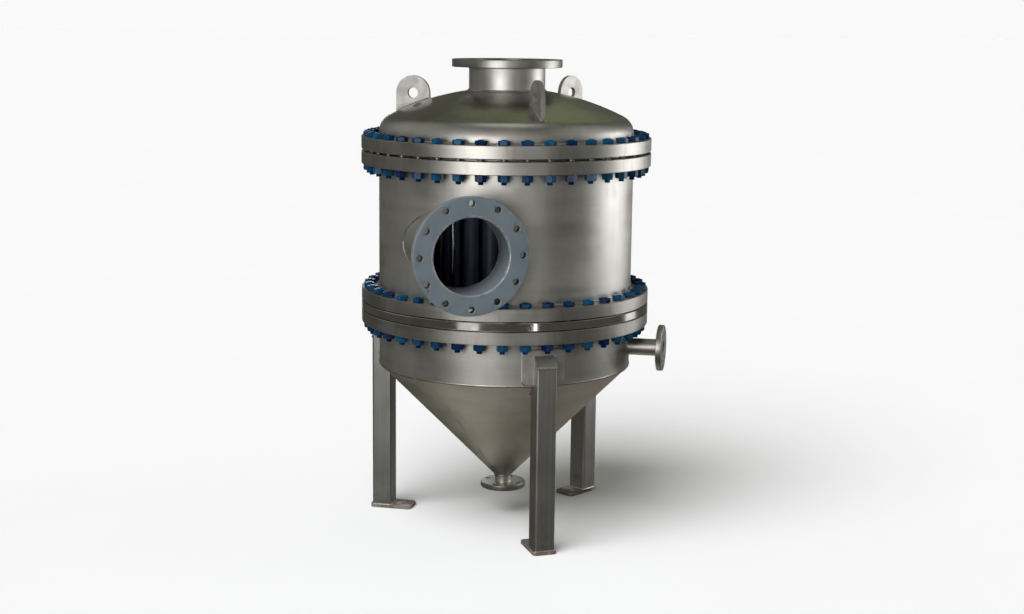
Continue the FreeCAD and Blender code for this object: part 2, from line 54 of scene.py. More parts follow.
class Wire:
    """A socket in a node tree; arithmetic on it adds the nodes that work it out."""

    def __init__(self, tree, socket):
        self.tree = tree
        self.socket = socket

    def node(self, kind, settings=None, sockets=None, output=0):
        """Any node: its settings are set first, then its sockets, each a value or a wire."""
        made = self.tree.nodes.new(kind)
        for name, setting in (settings or {}).items():
            setattr(made, name, setting)
        for name, feed in (sockets or {}).items():
            plug(self.tree, feed, made.inputs[name])
        return Wire(self.tree, made.outputs[output])

    def math(self, operation, *terms):
        """An operation on numbers: its terms are this wire, other wires or plain values."""
        return self.node("ShaderNodeMath", {"operation": operation}, dict(enumerate(terms)))

    def __add__(self, other):
        return self.math("ADD", self, other)

    def __sub__(self, other):
        return self.math("SUBTRACT", self, other)

    def __rsub__(self, other):
        return self.math("SUBTRACT", other, self)

    def __mul__(self, other):
        return self.math("MULTIPLY", self, other)

    def __pow__(self, other):
        return self.math("POWER", self, other)

    def __rpow__(self, other):
        return self.math("POWER", other, self)

    __radd__ = __add__
    __rmul__ = __mul__


def plug(tree, feed, socket):
    """Feed a socket with a wire or with a plain value."""
    if isinstance(feed, Wire):
        tree.links.new(feed.socket, socket)
    else:
        socket.default_value = feed


def fade(value, start, end):
    """0 up to start and 1 from end on, smooth between; the two may be in either order."""
    ends = {"Value": value, "From Min": start, "From Max": end}
    return value.node("ShaderNodeMapRange", {"interpolation_type": "SMOOTHSTEP"}, ends)


# Where a Mix node keeps its sockets for colours, whose names its other sockets share.
MIX_SHARE, MIX_FROM, MIX_TO, MIX_RESULT = 0, 6, 7, 2


def tint(mask, plain, marked):
    """One colour where the mask is 0 and another where it is 1."""
    sockets = {MIX_SHARE: mask, MIX_FROM: plain, MIX_TO: marked}
    return mask.node("ShaderNodeMix", {"data_type": "RGBA"}, sockets, MIX_RESULT)


def clouds(place, per_metre, detail=3.0, stretch=(1.0, 1.0, 1.0)):
    """Soft noise about 0.5, with so many features to the metre along each axis."""
    scaled = place.node("ShaderNodeVectorMath", {"operation": "MULTIPLY"}, {0: place, 1: stretch})
    sockets = {"Vector": scaled, "Scale": per_metre, "Detail": detail}
    return place.node("ShaderNodeTexNoise", None, sockets)


def axes(place):
    """The three coordinates of a place."""
    split = place.node("ShaderNodeSeparateXYZ", None, {0: place}).socket.node
    return [Wire(place.tree, socket) for socket in split.outputs]


def relief(height, depth):
    """A normal that follows a height from 0 to 1 of so many metres."""
    return height.node("ShaderNodeBump", None, {"Height": height, "Strength": 1.0, "Distance": depth})


def finish(name, recipe):
    """A material whose principled sockets are what the recipe gives for a place on the object."""
    made = bpy.data.materials.new(name)
    made.use_nodes = True
    shader = made.node_tree.nodes["Principled BSDF"]
    start = Wire(made.node_tree, shader.outputs[0])
    place = start.node("ShaderNodeTexCoord", None, None, "Object")
    for socket, feed in recipe(place).items():
        plug(made.node_tree, feed, shader.inputs[socket])
    return made


def dress(coat, *names):
    """Give CAD nodes a finish in place of their plain one."""
    for name in names:
        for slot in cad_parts[name].material_slots:
            slot.material = coat


shell_low, shell_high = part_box("shell")
hopper_low, hopper_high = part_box("hopper_shell")
cone_low, cone_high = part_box("cone")
head_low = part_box("head")[0]
SHELL_RADIUS = (shell_high.x - shell_low.x) / 2
SATIN_STEEL = (0.6, 0.59, 0.56, 1.0)
DULL_STEEL = (0.47, 0.455, 0.415, 1.0)
RUN_STAIN = (0.38, 0.355, 0.305, 1.0)
# Painted shade round the outlet, standing in for the reflection of its flange's dark underside.
OUTLET_PAINTED_SHADE = (0.3, 0.285, 0.245, 1.0)
SHELL_RUN = 0.17
HOPPER_RUN = 0.13


def blasted_steel(place):
    """Mottled and faintly banded by the rolls, with water stains that run down from the joints."""
    z = axes(place)[2]
    patches = clouds(place, 3.4, 4.0)
    runs = clouds(place, 1.0, 3.0, (15.0, 15.0, 1.8))
    bands = clouds(place, 1.0, 3.0, (1.6, 1.6, 16.0))
    under_joint = fade(z, shell_high.z - SHELL_RUN, shell_high.z)
    under_joint += fade(z, hopper_high.z - HOPPER_RUN, hopper_high.z) * 0.7
    wet = fade(runs, 0.5, 0.72) * fade(patches, 0.42, 0.6)
    scuff = fade(clouds(place, 1.0, 5.0, (9.0, 9.0, 120.0)), 0.66, 0.74)
    tone = patches * 0.55 + runs * 0.15 + bands * 0.3
    colour = tint(fade(tone, 0.42, 0.58), DULL_STEEL, SATIN_STEEL)
    colour = tint(wet * 0.34 * under_joint, colour, RUN_STAIN)
    grain = clouds(place, 850.0, 2.0)
    return {
        "Base Color": colour,
        "Metallic": 1.0,
        "Roughness": 0.46 + (patches - 0.5) * 0.2 + (bands - 0.5) * 0.24 - scuff * 0.1,
        "Normal": relief(grain, 0.00006),
    }


def spun_steel(place):
    """The same steel, smoother but for the skirt; painted shade round the outlet stands in for its
    flange's reflection.
    """
    steel = blasted_steel(place)
    x, y, z = axes(place)
    crown = fade(z, head_low.z + 0.03, head_low.z + 0.085)
    # Painted shade: the crown is darkened round the outlet neck, for the reflection of the outlet
    # flange's dark underside.
    outlet_shade = fade((x * x + y * y) ** 0.5 + (clouds(place, 8.0) - 0.5) * 0.08, 0.27, 0.17)
    steel["Base Color"] = tint(outlet_shade * 0.6, steel["Base Color"], OUTLET_PAINTED_SHADE)
    steel["Roughness"] = steel["Roughness"] - crown * 0.24
    return steel


blasted = finish("blasted_steel", blasted_steel)
dress(blasted, "shell", "hopper_shell", "cone")
dress(blasted, "outlet_neck", "drain_neck", "side_neck")
dress(finish("spun_steel", spun_steel), "head")


# ---------------------------------------------------------------- seams of the vessel
# Shop welds in stainless wire. The flanges are fillet welded to the ends of the shells, the cone is
# butt welded to the hopper, and each rolled sheet closes on one upright seam. Brushing after
# pickling leaves the beads brighter than the plate, with the ripple of the weave.

STITCH = 0.0052
BEAD_STEP = STITCH / 3
BEAD_SIDES = 8
WIDTH_SCATTER = 0.07
HEIGHT_SCATTER = 0.05
RIPPLE = 0.13
CREASE = math.radians(40.0)
FILLET = 0.009
SMALL_FILLET = 0.0072
FINE_FILLET = 0.0063
BUTT_WIDTH = 0.009
BUTT_HEIGHT = 0.0018
BUTT_TILT = -22.0
SEAM_HEIGHT = 0.0009
CONE_SEAM_WIDTH = 0.0072
UPRIGHT = Matrix.Identity(4)


class Stock:
    """Points and faces gathered for one joined piece."""

    def __init__(self):
        self.points = []
        self.faces = []

    def skin(self, rings, closed=False):
        """Quads between rings of as many points each; the ends are capped, or joined if closed."""
        first = len(self.points)
        count = len(rings[0])
        for ring in rings:
            self.points += ring
        for row in range(len(rings) if closed else len(rings) - 1):
            near = first + row * count
            far = first + (row + 1) % len(rings) * count
            for step in range(count):
                after = (step + 1) % count
                self.faces.append((near + step, near + after, far + after, far + step))
        if not closed:
            self.faces.append(tuple(range(first, first + count)))
            self.faces.append(tuple(range(len(self.points) - count, len(self.points))))

    def piece(self, name, coat):
        """The gathered stock as one object that rides on the vessel."""
        mesh = bpy.data.meshes.new(name)
        mesh.from_pydata(self.points, [], self.faces)
        work = bmesh.new()
        work.from_mesh(mesh)
        bmesh.ops.recalc_face_normals(work, faces=work.faces)
        work.to_mesh(mesh)
        work.free()
        mesh.shade_smooth()
        mesh.set_sharp_from_angle(angle=CREASE)
        mesh.materials.append(coat)
        made = bpy.data.objects.new(name, mesh)
        bpy.context.scene.collection.objects.link(made)
        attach(made, "root")
        return made


def bead(stock, run, width, height, closed=True):
    """Lay weld along a run of (point, outward normal) pairs, rippled at each stitch."""
    rings = []
    travelled = dice.uniform(0.0, STITCH)
    for index, (point, normal) in enumerate(run):
        before = run[index - 1][0] if closed or index else point
        after = run[(index + 1) % len(run)][0] if closed or index + 1 < len(run) else point
        along = (after - before).normalized()
        across = along.cross(normal).normalized()
        travelled += (after - before).length / 2
        ripple = math.cos(2 * math.pi * travelled / STITCH)
        reach = width / 2 * (1.0 + dice.uniform(-WIDTH_SCATTER, WIDTH_SCATTER))
        rise = height * (1.0 + RIPPLE * ripple + dice.uniform(-HEIGHT_SCATTER, HEIGHT_SCATTER))
        ring = []
        for side in range(BEAD_SIDES):
            turn = 2 * math.pi * side / BEAD_SIDES
            ring.append(point + across * reach * math.cos(turn) + normal * rise * math.sin(turn))
        rings.append(ring)
    stock.skin(rings, closed)


def fillet(stock, run, leg, closed=True):
    """A weld in a corner, half as high as it is wide."""
    bead(stock, run, leg, leg / 2, closed)


def hoop(radius, level, rise, place=UPRIGHT):
    """A ring about the Z axis of a place; its normals point outwards, tilted up by rise degrees."""
    count = max(24, round(2 * math.pi * radius / BEAD_STEP))
    tilt = math.radians(rise)
    run = []
    for step in range(count):
        turn = 2 * math.pi * step / count
        outward = Vector((math.cos(turn), math.sin(turn), 0.0))
        normal = outward * math.cos(tilt) + Vector((0.0, 0.0, math.sin(tilt)))
        run.append((place @ (outward * radius + Vector((0.0, 0.0, level))), place.to_3x3() @ normal))
    return run


def straight(start, end, normal):
    """A straight run from one point to another."""
    count = max(2, round((end - start).length / BEAD_STEP))
    return [(start.lerp(end, step / count), normal) for step in range(count + 1)]


def facing(azimuth):
    """The horizontal direction at an azimuth, measured from -Y towards +X in degrees."""
    turn = math.radians(azimuth)
    return Vector((math.sin(turn), -math.cos(turn), 0.0))


def weld_steel(place):
    """Bright where it was brushed well, and straw brown where it wasn't."""
    patches = clouds(place, 14.0, 3.0)
    colour = tint(fade(patches, 0.4, 0.64), (0.56, 0.545, 0.51, 1.0), (0.42, 0.38, 0.31, 1.0))
    return {
        "Base Color": colour,
        "Metallic": 1.0,
        "Roughness": 0.34 + patches * 0.16,
        "Normal": relief(clouds(place, 500.0, 2.0), 0.00008),
    }


weld = finish("weld_bead", weld_steel)
CONE_SEAM_AZIMUTH = -52.0
HOPPER_SEAM_AZIMUTH = 165.0
SHELL_SEAM_AZIMUTH = 150.0

seams = Stock()
for level, rise in (
    (head_low.z, 45.0),
    (shell_high.z, -45.0),
    (shell_low.z, 45.0),
    (hopper_high.z, -45.0),
):
    fillet(seams, hoop(SHELL_RADIUS, level, rise), FILLET)
bead(seams, hoop(SHELL_RADIUS, cone_high.z, BUTT_TILT), BUTT_WIDTH, BUTT_HEIGHT)
seams.piece("girth_welds", weld)

drain_low, drain_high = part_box("drain_neck")
DRAIN_RADIUS = (drain_high.x - drain_low.x) / 2
uprights = Stock()
for azimuth, low, high in (
    (SHELL_SEAM_AZIMUTH, shell_low.z, shell_high.z),
    (HOPPER_SEAM_AZIMUTH, hopper_low.z, hopper_high.z),
):
    out = facing(azimuth)
    foot = out * SHELL_RADIUS
    ends = (foot + Vector((0.0, 0.0, low)), foot + Vector((0.0, 0.0, high)))
    bead(uprights, straight(*ends, out), BUTT_WIDTH, SEAM_HEIGHT, closed=False)
out = facing(CONE_SEAM_AZIMUTH)
slope = math.atan2(SHELL_RADIUS - DRAIN_RADIUS, cone_high.z - cone_low.z)
down = out * math.cos(slope) - Vector((0.0, 0.0, math.sin(slope)))
top_end = out * SHELL_RADIUS + Vector((0.0, 0.0, cone_high.z))
tip_end = out * DRAIN_RADIUS + Vector((0.0, 0.0, cone_low.z))
bead(uprights, straight(top_end, tip_end, down), CONE_SEAM_WIDTH, SEAM_HEIGHT, closed=False)
uprights.piece("upright_welds", weld)


# ---------------------------------------------------------------- body flanges and gaskets
# Four rings cut from 45 mm plate, turned on the rim and on the sealing faces and drilled together.
# The lathe leaves fine rings all round. Black fibre gaskets lie between them.

TURNED_STEEL = (0.46, 0.45, 0.425, 1.0)
TURNED_SHADE = (0.37, 0.36, 0.33, 1.0)
TURNED_STAIN = (0.3, 0.27, 0.22, 1.0)


def placed(place, about):
    """The three coordinates of a place in the frame of a placement."""
    back = about.inverted()
    sockets = {"Vector": place, "Location": back.translation, "Rotation": back.to_euler()}
    return axes(place.node("ShaderNodeMapping", None, sockets))


def polar(place, about):
    """Distance from the Z axis of a placement, and height along it."""
    x, y, z = placed(place, about)
    return (x * x + y * y) ** 0.5, z


def turned_steel(about):
    """The recipe of steel turned in a lathe about the Z axis of a placement."""

    def recipe(place):
        radius, height = polar(place, about)
        ring_place = place.node("ShaderNodeCombineXYZ", None, {0: radius, 2: height})
        cuts = clouds(ring_place, 420.0, 3.0)
        passes = clouds(ring_place, 60.0, 2.0)
        patches = clouds(place, 6.0, 4.0)
        marks = fade(clouds(place, 1.0, 4.0, (38.0, 38.0, 9.0)), 0.52, 0.72)
        colour = tint(fade(patches * 0.7 + passes * 0.3, 0.4, 0.62), TURNED_SHADE, TURNED_STEEL)
        colour = tint(marks * 0.45, colour, TURNED_STAIN)
        return {
            "Base Color": colour,
            "Metallic": 1.0,
            "Roughness": 0.41 + (patches - 0.5) * 0.16 + (passes - 0.5) * 0.08,
            "Normal": relief(cuts, 0.00007),
        }

    return recipe


def matt_gasket(place):
    """Pressed black fibre, with paler threads in it."""
    fibre = clouds(place, 300.0, 3.0)
    return {
        "Base Color": tint(fibre, (0.012, 0.012, 0.013, 1.0), (0.05, 0.048, 0.045, 1.0)),
        "Roughness": 0.75 + (fibre - 0.5) * 0.2,
        "Normal": relief(fibre, 0.0002),
    }


turned = finish("turned_steel", turned_steel(UPRIGHT))
dress(turned, "head_flange", "shell_top_flange", "shell_bottom_flange", "hopper_flange")
dress(turned, "outlet_flange", "drain_flange", "support_plate")
dress(finish("gasket", matt_gasket), "top_gasket", "upper_plate_gasket", "lower_plate_gasket")


# ---------------------------------------------------------------- tube plate, tubes and tie rods
# The tube plate is a 29 mm disc clamped between the lower flanges, polished on its rim. It carries
# the bundle of cyclone tubes, coated dark blue against wear, under a plate held by four bright rods.

MIRROR_STEEL = (0.58, 0.57, 0.55, 1.0)
# Painted light: this blue is much paler than the real dark coat, standing in for light in the dim
# inside of the vessel.
TUBE_BLUE_PAINTED_LIGHT = (0.12, 0.145, 0.27, 1.0)
TUBE_DUST = (0.17, 0.2, 0.33, 1.0)


def polished_steel(place):
    """Polished in the lathe, with finger smears that dull it in patches."""
    radius, height = polar(place, UPRIGHT)
    ring_place = place.node("ShaderNodeCombineXYZ", None, {0: radius, 2: height})
    cuts = clouds(ring_place, 700.0, 2.0)
    smears = clouds(place, 9.0, 4.0)
    return {
        "Base Color": tint(fade(smears, 0.4, 0.65), MIRROR_STEEL, TURNED_STEEL),
        "Metallic": 1.0,
        "Roughness": 0.09 + fade(smears, 0.45, 0.7) * 0.1,
        "Normal": relief(cuts, 0.000012),
    }


def blue_tube(place):
    """A dark blue wear coat under a film of dust, drawn out along the tubes; painted light makes it
    paler.
    """
    dust = clouds(place, 26.0, 4.0, (1.0, 1.0, 0.3))
    return {
        "Base Color": tint(fade(dust, 0.42, 0.7), TUBE_BLUE_PAINTED_LIGHT, TUBE_DUST),
        "Roughness": 0.42 + dust * 0.2,
        "Normal": relief(clouds(place, 240.0, 2.0), 0.00015),
    }


dress(finish("polished_steel", polished_steel), "tube_plate", "tie_rods")
dress(finish("tube_coating", blue_tube), "cyclone_tubes")


# ---------------------------------------------------------------- studs and nuts
# Each body joint has forty M20 studs in stainless bar, with a thin nut above and a heavy one below.
# Nuts and stud ends wear a blue fluoropolymer coat against galling, which varies from batch to batch
# and is rubbed in places. The bare shanks are darkened as painted shade in the gap of the upper joint.

STUD_COUNT = 40
STUD_INSET = 0.036
STUD_RADIUS = 0.0099
NUT_FLATS = 0.0365
UPPER_NUT = 0.0155
LOWER_NUT = 0.0235
NUT_FACE = 0.95 * NUT_FLATS / 2
NUT_CHAMFER = math.radians(30.0)
NUT_POINTS = 24
THREAD_PITCH = 0.0025
THREAD_DEPTH = 0.0012
OVER_NUT = 0.0026
UNDER_NUT = 0.0105
TIP_RADIUS = 0.72 * STUD_RADIUS
STUD_BLUE = (0.001, 0.016, 0.066, 1.0)
STUD_TEAL = (0.004, 0.056, 0.125, 1.0)
RUBBED_BLUE = (0.04, 0.1, 0.16, 1.0)


def round_ring(centre, radius, level):
    """A level circle of as many points as a nut has."""
    ring = []
    for step in range(NUT_POINTS):
        turn = 2 * math.pi * step / NUT_POINTS
        ring.append(centre + Vector((radius * math.cos(turn), radius * math.sin(turn), level)))
    return ring


def hex_ring(centre, spin, level, way):
    """A hexagon whose corners a chamfer moves along Z, up or down by the sign of its way."""
    ring = []
    for step in range(NUT_POINTS):
        turn = 2 * math.pi * step / NUT_POINTS
        from_flat = (turn + math.pi / 6) % (math.pi / 3) - math.pi / 6
        reach = NUT_FLATS / 2 / math.cos(from_flat)
        corner = level + way * (reach - NUT_FACE) * math.tan(NUT_CHAMFER)
        across = Vector((math.cos(turn + spin), math.sin(turn + spin), 0.0))
        ring.append(centre + across * reach + Vector((0.0, 0.0, corner)))
    return ring


def nut(stock, centre, height):
    """A hexagon nut that stands on a point, chamfered on both faces and bored for its stud."""
    spin = dice.uniform(0.0, math.pi / 3)
    stock.skin(
        [
            round_ring(centre, STUD_RADIUS, 0.0),
            round_ring(centre, NUT_FACE, 0.0),
            hex_ring(centre, spin, 0.0, 1.0),
            hex_ring(centre, spin, height, -1.0),
            round_ring(centre, NUT_FACE, height),
            round_ring(centre, STUD_RADIUS, height),
        ],
        closed=True,
    )


def stud_end(stock, centre, length, way):
    """The threaded end of a stud, past its nut, tapered to its tip."""
    rings = [round_ring(centre, STUD_RADIUS, 0.0)]
    for turn in range(int(length / THREAD_PITCH)):
        level = way * THREAD_PITCH * (turn + 0.5)
        rings.append(round_ring(centre, STUD_RADIUS - THREAD_DEPTH, level))
        rings.append(round_ring(centre, STUD_RADIUS, level + way * THREAD_PITCH / 2))
    rings.append(round_ring(centre, TIP_RADIUS, way * length))
    stock.skin(rings)


def blue_coat(place):
    """From deep blue to teal by the batch that a stud came from."""
    batch = place.node("ShaderNodeAttribute", {"attribute_name": "batch"}, None, "Fac")
    rubs = fade(clouds(place, 190.0, 4.0), 0.6, 0.7)
    colour = tint(fade(batch, 0.25, 0.9), STUD_BLUE, STUD_TEAL)
    return {
        "Base Color": tint(rubs * 0.3, colour, RUBBED_BLUE),
        "Roughness": 0.14 + clouds(place, 90.0) * 0.2,
        "Specular IOR Level": 0.13,
        "Normal": relief(clouds(place, 420.0, 2.0), 0.00012),
    }


def bar_in_painted_shade(place):
    """Cold drawn bar, with the die's lines along it, darkened as painted shade for the flange gap."""
    drawn = clouds(place, 1.0, 3.0, (900.0, 900.0, 30.0))
    return {
        "Base Color": tint(drawn, (0.2, 0.195, 0.18, 1.0), (0.3, 0.29, 0.275, 1.0)),
        "Metallic": 1.0,
        "Roughness": 0.45 + drawn * 0.1,
        "Normal": relief(drawn, 0.00005),
    }


stud_coat = finish("stud_coating", blue_coat)
stud_bar = finish("stud_bar", bar_in_painted_shade)
joints = (
    ("upper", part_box("shell_top_flange")[0].z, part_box("head_flange")[1].z),
    ("lower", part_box("hopper_flange")[0].z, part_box("shell_bottom_flange")[1].z),
)
for joint, under, over in joints:
    nuts = Stock()
    shanks = Stock()
    batches = []
    for number in range(STUD_COUNT):
        foot = facing(360.0 / STUD_COUNT * number) * (SHELL_RADIUS + STUD_INSET)
        top = foot + Vector((0.0, 0.0, over))
        bottom = foot + Vector((0.0, 0.0, under))
        nut(nuts, top, UPPER_NUT)
        nut(nuts, bottom - Vector((0.0, 0.0, LOWER_NUT)), LOWER_NUT)
        stud_end(nuts, top + Vector((0.0, 0.0, UPPER_NUT)), OVER_NUT, 1.0)
        stud_end(nuts, bottom - Vector((0.0, 0.0, LOWER_NUT)), UNDER_NUT, -1.0)
        shanks.skin([round_ring(bottom, STUD_RADIUS, 0.0), round_ring(top, STUD_RADIUS, 0.0)])
        batches += [dice.random()] * (len(nuts.points) - len(batches))
    coated = nuts.piece(f"{joint}_nuts", stud_coat)
    coated.data.attributes.new("batch", "FLOAT", "POINT").data.foreach_set("value", batches)
    shanks.piece(f"{joint}_studs", stud_bar)


# ---------------------------------------------------------------- gas nozzles
# Inlet and outlet are 273 mm pipe with flanges for twelve bolts. The inlet meets the shell off
# centre, so that the gas spins; its flange, the weld in its mouth and its bore wear a grey-blue coat,
# worn to the metal at the bolt holes. The outlet stands bare on the head.

inlet_low, inlet_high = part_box("inlet_flange")
inlet_middle = (inlet_low + inlet_high) / 2
GAS_RADIUS = (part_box("outlet_neck")[1].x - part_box("outlet_neck")[0].x) / 2
GAS_WALL = 0.004
GAS_RIM = (inlet_high.x - inlet_low.x) / 2
GAS_BOLTS = 12
GAS_BOLT_CIRCLE = 0.175
GAS_HOLE = 0.011
GAS_THICK = inlet_high.y - inlet_low.y
GAS_EDGE = 0.0018
LINING_EDGE = GAS_RADIUS - 0.003
MOUTH_SETBACK = 0.004
MOUTH_WIDTH = 0.011
MOUTH_HEIGHT = 0.0035
TOWARDS_INLET = Matrix.Rotation(math.radians(90.0), 4, "X")
INLET = Matrix.Translation((inlet_middle.x, inlet_low.y, inlet_middle.z)) @ TOWARDS_INLET
COAT_GREY = (0.118, 0.152, 0.176, 1.0)
COAT_SHADE = (0.098, 0.127, 0.149, 1.0)
# Painted light: a paler copy of the coat for the bore, standing in for light that hardly reaches
# inside it.
LINING_PAINTED_LIGHT = (0.17, 0.195, 0.222, 1.0)
# Painted shade for the walls of the bolt holes.
HOLE_PAINTED_SHADE = (0.02, 0.021, 0.022, 1.0)
BARE_EDGE = (0.5, 0.49, 0.46, 1.0)
COAT_SCUFF = (0.14, 0.16, 0.17, 1.0)
THIN_COAT = (0.3, 0.32, 0.34, 1.0)


def soften(width, *names):
    """Break the edges of CAD nodes, whose sides are first joined along them."""
    for name in names:
        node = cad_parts[name]
        node.modifiers.new("join", "WELD").merge_threshold = 0.00001
        edge = node.modifiers.new("edge", "BEVEL")
        edge.width = width
        edge.segments = 2
        edge.limit_method = "ANGLE"
        edge.angle_limit = math.radians(50.0)
        node.modifiers.new("shade", "WEIGHTED_NORMAL").weight = 100


soften(GAS_EDGE, "inlet_flange", "outlet_flange")


def grey_coat(place):
    """Brushed on and worn round every bolt hole and the rim; painted shade in the holes, painted light
    in the bore.
    """
    x, y, z = placed(place, INLET)
    radius = (x * x + y * y) ** 0.5
    pitch = 2 * math.pi / GAS_BOLTS
    turn = x.math("ARCTAN2", y, x)
    folded = turn.math("WRAP", turn, pitch / 2, -pitch / 2)
    along = radius * folded.math("COSINE", folded) - GAS_BOLT_CIRCLE
    across = radius * folded.math("SINE", folded)
    from_hole = (along * along + across * across) ** 0.5
    chips = clouds(place, 260.0, 4.0)
    hole_wear = fade(from_hole + (chips - 0.5) * 0.003, GAS_HOLE + 0.0014, GAS_HOLE + 0.0006) * 0.6
    rim_wear = fade(radius + (chips - 0.5) * 0.004, GAS_RIM - 0.0012, GAS_RIM + 0.0006) * 0.3
    # Painted shade: the walls of the bolt holes are made near-black, to stand in for the shade inside
    # them.
    hole_shade = fade(from_hole, GAS_HOLE + 0.0006, GAS_HOLE + 0.0002)
    bare = hole_wear.math("MAXIMUM", hole_wear, rim_wear) * (1.0 - hole_shade)
    patches = clouds(place, 7.0, 4.0)
    colour = tint(fade(patches, 0.35, 0.65), COAT_SHADE, COAT_GREY)
    colour = tint(fade(clouds(place, 45.0, 5.0), 0.6, 0.8) * 0.3, colour, COAT_SCUFF)
    colour = tint(hole_shade, colour, HOLE_PAINTED_SHADE)
    # Painted light: the bore's paler coat.
    colour = tint(fade(radius, LINING_EDGE, LINING_EDGE - 0.0015), colour, LINING_PAINTED_LIGHT)
    return {
        "Base Color": tint(bare, colour, BARE_EDGE),
        "Metallic": bare,
        "Roughness": 0.34 + (patches - 0.5) * 0.16,
        "Normal": relief(clouds(place, 160.0, 2.0), 0.00015),
    }


def neck_steel(place):
    """Blasted outside, and coated inside like the flange, in the bore's paler coat of painted light.
    """
    radius, height = polar(place, INLET)
    inside = fade(radius, GAS_RADIUS - GAS_WALL * 0.35, GAS_RADIUS - GAS_WALL * 0.65)
    steel = blasted_steel(place)
    return {
        # Painted light: inside the neck, the bore's paler coat.
        "Base Color": tint(inside, steel["Base Color"], LINING_PAINTED_LIGHT),
        "Metallic": 1.0 - inside,
        "Roughness": steel["Roughness"] + inside * 0.05,
        "Normal": steel["Normal"],
    }


dress(finish("coated_flange", grey_coat), "inlet_flange")
dress(finish("inlet_neck_steel", neck_steel), "inlet_neck")


def coped(radius, offset, level, azimuth):
    """The run where a horizontal pipe of some radius meets a shell, off centre by an offset."""
    swing = Matrix.Rotation(math.radians(azimuth), 3, "Z")
    count = round(2.3 * math.pi * radius / BEAD_STEP)
    run = []
    for step in range(count):
        turn = 2 * math.pi * step / count
        x = offset + radius * math.cos(turn)
        point = Vector((x, -math.sqrt(SHELL_RADIUS**2 - x * x), level + radius * math.sin(turn)))
        from_shell = Vector((point.x, point.y, 0.0)).normalized()
        from_pipe = Vector((math.cos(turn), 0.0, math.sin(turn)))
        run.append((swing @ point, swing @ (from_shell + from_pipe).normalized()))
    return run


CROWN_RADIUS = 0.944
KNUCKLE_RADIUS = 0.069
HEAD_STRAIGHT = 0.012
crown_span = CROWN_RADIUS - KNUCKLE_RADIUS
crown_centre = head_low.z + HEAD_STRAIGHT - math.sqrt(
    crown_span**2 - (SHELL_RADIUS - KNUCKLE_RADIUS) ** 2
)


def crown_level(radius):
    """Height of the head's crown at a distance from the axis."""
    return crown_centre + math.sqrt(CROWN_RADIUS**2 - radius * radius)


gas_welds = Stock()
fillet(gas_welds, coped(GAS_RADIUS, inlet_middle.x, inlet_middle.z, 0.0), SMALL_FILLET)
fillet(gas_welds, hoop(GAS_RADIUS, -GAS_THICK, -45.0, INLET), FILLET)
fillet(gas_welds, hoop(GAS_RADIUS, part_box("outlet_flange")[0].z, -45.0), SMALL_FILLET)
fillet(gas_welds, hoop(GAS_RADIUS, crown_level(GAS_RADIUS), 50.0), FILLET)
gas_welds.piece("gas_nozzle_welds", weld)


def worn_coat(place):
    """The coat on the weld in the inlet's mouth, rubbed thin and shiny by the gas."""
    worn = fade(clouds(place, 30.0, 4.0), 0.4, 0.6)
    return {
        # The weld's coat starts from the bore's paler coat, which is painted light.
        "Base Color": tint(worn, LINING_PAINTED_LIGHT, THIN_COAT),
        "Metallic": 0.25 + worn * 0.25,
        "Roughness": 0.22 + clouds(place, 60.0) * 0.1,
    }


mouth = Stock()
inward = hoop(GAS_RADIUS - GAS_WALL, -MOUTH_SETBACK, 135.0, INLET)
bead(mouth, inward, MOUTH_WIDTH, MOUTH_HEIGHT)
mouth.piece("inlet_mouth_weld", finish("worn_coat", worn_coat))


# ---------------------------------------------------------------- drain and side nozzles
# Both are 60 mm pipe with a small four-bolt flange: the drain under the cone's tip, and the side
# nozzle on the hopper, square to the shell.

SIDE_AZIMUTH = 60.0
side_low, side_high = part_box("side_flange")
side_level = (side_low.z + side_high.z) / 2
SIDE_THICK = 0.020
SMALL_EDGE = 0.0015
side_rim = (side_high.z - side_low.z) / 2
side_reach = (side_high.x - side_rim * math.cos(math.radians(SIDE_AZIMUTH))) / math.sin(
    math.radians(SIDE_AZIMUTH)
)
SIDE = (
    Matrix.Rotation(math.radians(SIDE_AZIMUTH), 4, "Z")
    @ Matrix.Translation((0.0, -side_reach, side_level))
    @ TOWARDS_INLET
)
dress(finish("side_turned_steel", turned_steel(SIDE)), "side_flange")
soften(SMALL_EDGE, "side_flange", "drain_flange")

small_welds = Stock()
fillet(small_welds, coped(DRAIN_RADIUS, 0.0, side_level, SIDE_AZIMUTH), SMALL_FILLET)
fillet(small_welds, hoop(DRAIN_RADIUS, -SIDE_THICK, -45.0, SIDE), FINE_FILLET)
fillet(small_welds, hoop(DRAIN_RADIUS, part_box("drain_flange")[1].z, 45.0), FINE_FILLET)
bead(small_welds, hoop(DRAIN_RADIUS, cone_low.z, -10.0), SMALL_FILLET, FINE_FILLET / 2)
small_welds.piece("small_nozzle_welds", weld)


# ---------------------------------------------------------------- lifting lugs
# Three lugs, flame cut from 15 mm plate and ground, stand radially on the head. A fillet weld runs
# right round the foot of each.

LUG_AZIMUTHS = (0.0, 120.0, 240.0)
LUG_CENTRE = 0.348
LUG_CORNER = 0.003
LUG_WELD_HEIGHT = 0.00378
PLATE_EDGE = 0.0012
lug_low, lug_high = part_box("lifting_lug_1")
LUG_HALF = (lug_high.y - lug_low.y) / 2
LUG_HALF_THICK = (lug_high.x - lug_low.x) / 2
PLATE_STEEL = (0.56, 0.55, 0.52, 1.0)
PLATE_SHADE = (0.45, 0.435, 0.405, 1.0)


